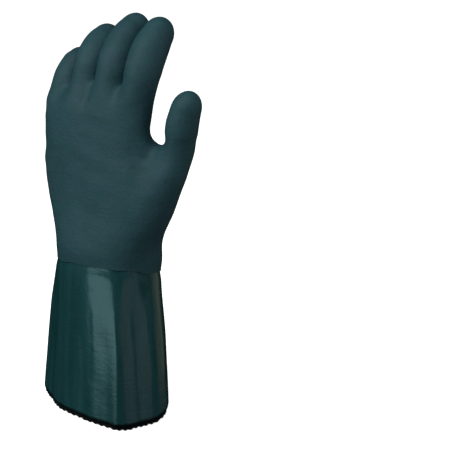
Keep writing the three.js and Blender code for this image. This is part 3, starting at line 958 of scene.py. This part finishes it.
class LiningSettings(bpy.types.PropertyGroup):
    """Size and colour of the knitted lining"""

    wall: length("Wall", "Thickness of the knitted lining", LINING_WALL * MM)
    colour: tint("Colour", "Colour of the knitted lining", (0.002, 0.003, 0.004))


class StageSettings(bpy.types.PropertyGroup):
    """The floor's size, the camera's lens and the lights' power"""

    floor: length("Floor radius", "Distance from the glove to where the floor bends up", 3.0)
    lens: FloatProperty(name="Lens", description="Focal length of the camera", default=106.8, unit="CAMERA")
    key: FloatProperty(name="Key light", description="Power of the key light", default=15.0, unit="POWER")


class GLOVE_OT_coat(bpy.types.Operator):
    """Build the rough coat over the hand"""

    bl_idname = "glove.build_coat"
    bl_label = "Rough coat"

    def execute(self, context):
        settings = context.scene.glove_coat
        coat, lip = coat_object(settings.relief)
        finish_piece(coat, settings.wall, coat_finish(settings.colour), lip)
        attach(coat, "root")
        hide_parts("hand_shell")
        return {"FINISHED"}


class GLOVE_OT_cuff(bpy.types.Operator):
    """Build the smooth flared cuff"""

    bl_idname = "glove.build_cuff"
    bl_label = "Smooth cuff"

    def execute(self, context):
        settings = context.scene.glove_cuff
        cuff = sleeve_object("smooth_cuff", cuff_grid())
        finish_piece(cuff, settings.wall, cuff_finish(settings.colour))
        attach(cuff, "root")
        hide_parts("gauntlet_cuff")
        return {"FINISHED"}


class GLOVE_OT_lining(bpy.types.Operator):
    """Build the knitted lining with its pinked edge"""

    bl_idname = "glove.build_lining"
    bl_label = "Knitted lining"

    def execute(self, context):
        settings = context.scene.glove_lining
        lining = sleeve_object("knitted_lining", lining_grid())
        finish_piece(lining, settings.wall, lining_finish(settings.colour))
        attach(lining, "root")
        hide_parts("cotton_lining")
        return {"FINISHED"}


def backdrop_grid(radius):
    """A floor that bends up into a wall: a profile of floor, quarter circle and upright, carried round."""
    turn = np.linspace(0, math.pi / 2, BEND_ROWS + 1)[1:]
    floor = np.linspace(FLOOR_HOLE, radius, FLOOR_ROWS)
    out = np.concatenate((floor, radius + BEND_RADIUS * np.sin(turn), (radius + BEND_RADIUS,)))
    high = np.concatenate((np.zeros(FLOOR_ROWS), BEND_RADIUS * (1 - np.cos(turn)), (BACKDROP_TOP,)))
    angle = np.arange(BACKDROP_COLUMNS) * TURN / BACKDROP_COLUMNS
    x, y = np.cos(angle) * out[:, None], np.sin(angle) * out[:, None]
    return np.stack((x, y, np.broadcast_to(high[:, None], x.shape)), axis=-1)


def build_floor(radius):
    """The pale backdrop, facing inwards, which glows and neither shades nor lights the glove."""
    grid = backdrop_grid(radius)
    rows, columns = grid.shape[:2]
    points = grid.reshape(-1, 3) / MM - GLOVE_PLACE
    faces = grid_faces(rows, columns)[:, ::-1].tolist() + [list(range(columns))]
    floor = to_mesh("floor", points, faces)
    floor.data.shade_smooth()
    paper = Finish("pale_paper", Base_Color=(0.86, 0.86, 0.86, 1), Roughness=0.9, Specular_IOR_Level=0.1)
    paper.shader.inputs["Emission Color"].default_value = (1, 1, 1, 1)
    paper.shader.inputs["Emission Strength"].default_value = FLOOR_GLOW
    floor.data.materials.append(paper.material)
    floor.visible_glossy = floor.visible_diffuse = floor.visible_shadow = False


def build_world(scene):
    """Faint cool light from all round, which glossy surfaces don't mirror."""
    world = bpy.data.worlds.new("studio")
    world.use_nodes = True
    sky = world.node_tree.nodes["Background"]
    sky.inputs["Color"].default_value = (0.93, 0.97, 1.0, 1)
    sky.inputs["Strength"].default_value = WORLD_GLOW
    world.cycles_visibility.glossy = False
    scene.world = world
    scene.view_settings.view_transform = "Standard"


def bearing(azimuth, elevation):
    """The direction of a bearing in degrees, from the glove out: azimuth 0 is in front of the
    hand's back."""
    a, e = math.radians(azimuth), math.radians(elevation)
    return Vector((math.sin(a) * math.cos(e), -math.cos(a) * math.cos(e), math.sin(e)))


def add_light(light, distance, power, colour=(1, 1, 1)):
    """A rectangular light at a bearing round the glove, turned to face it."""
    lamp = bpy.data.lights.new(light["name"], "AREA")
    lamp.shape = "RECTANGLE"
    lamp.size, lamp.size_y = light["size"]
    lamp.energy, lamp.color = power, colour
    made = bpy.data.objects.new(light["name"], lamp)
    bpy.context.scene.collection.objects.link(made)
    away = bearing(*light["bearing"])
    made.location = Vector((0, 0, LIGHTS_AIM)) + away * distance
    made.rotation_euler = away.to_track_quat("Z", "Y").to_euler()
    return made


def aimed(lens):
    """The turn that looks straight at the target, and then, in the camera's own frame, turns by the angles
    that put the target at its pixel of the picture."""
    scale = lens / SENSOR_WIDTH * PICTURE_SIDE
    across = math.atan((TARGET_PIXEL[0] - PICTURE_SIDE / 2) / scale)
    up = math.atan((PICTURE_SIDE / 2 - TARGET_PIXEL[1]) / scale)
    straight = (TARGET - EYE).to_track_quat("-Z", "Y")
    return straight @ Quaternion((0, 1, 0), across) @ Quaternion((1, 0, 0), -up)


def build_camera(scene, lens):
    """The camera at the photograph's viewing angle."""
    camera = bpy.data.cameras.new("camera")
    camera.lens, camera.sensor_width = lens, SENSOR_WIDTH
    made = bpy.data.objects.new("camera", camera)
    scene.collection.objects.link(made)
    made.location = EYE
    made.rotation_euler = aimed(lens).to_euler()
    scene.camera = made


class GLOVE_OT_stage(bpy.types.Operator):
    """Set the floor, the lights and the camera"""

    bl_idname = "glove.build_stage"
    bl_label = "Stage"

    def execute(self, context):
        settings = context.scene.glove_stage
        build_floor(settings.floor)
        build_world(context.scene)
        for light in LIGHTS:
            add_light(light, light["distance"], settings.key * light["share"])
        for strip in STRIPS:
            made = add_light(strip, STRIP_DISTANCE, strip["watts"], strip["tint"])
            made.visible_diffuse = False
        build_camera(context.scene, settings.lens)
        return {"FINISHED"}


GROUPS = {
    "glove_coat": CoatSettings,
    "glove_cuff": CuffSettings,
    "glove_lining": LiningSettings,
    "glove_stage": StageSettings,
}
OPERATORS = (GLOVE_OT_coat, GLOVE_OT_cuff, GLOVE_OT_lining, GLOVE_OT_stage)


class GLOVE_PT_panel(bpy.types.Panel):
    """Settings and build buttons of the glove's pieces and its stage"""

    bl_idname = "GLOVE_PT_panel"
    bl_label = "Work glove"
    bl_space_type = "VIEW_3D"
    bl_region_type = "UI"
    bl_category = "Glove"

    def draw(self, context):
        for name, operator in zip(GROUPS, OPERATORS):
            box = self.layout.box()
            settings = getattr(context.scene, name)
            for key in settings.__annotations__:
                box.prop(settings, key)
            box.operator(operator.bl_idname)


CLASSES = (*GROUPS.values(), *OPERATORS, GLOVE_PT_panel)


def register():
    for made in CLASSES:
        bpy.utils.register_class(made)
    for name, group in GROUPS.items():
        setattr(bpy.types.Scene, name, PointerProperty(type=group))


def unregister():
    for name in GROUPS:
        delattr(bpy.types.Scene, name)
    for made in reversed(CLASSES):
        bpy.utils.unregister_class(made)


def main():
    register()
    bpy.ops.glove.build_stage()
    bpy.ops.glove.build_coat()
    bpy.ops.glove.build_cuff()
    bpy.ops.glove.build_lining()


if __name__ == "__main__":
    main()
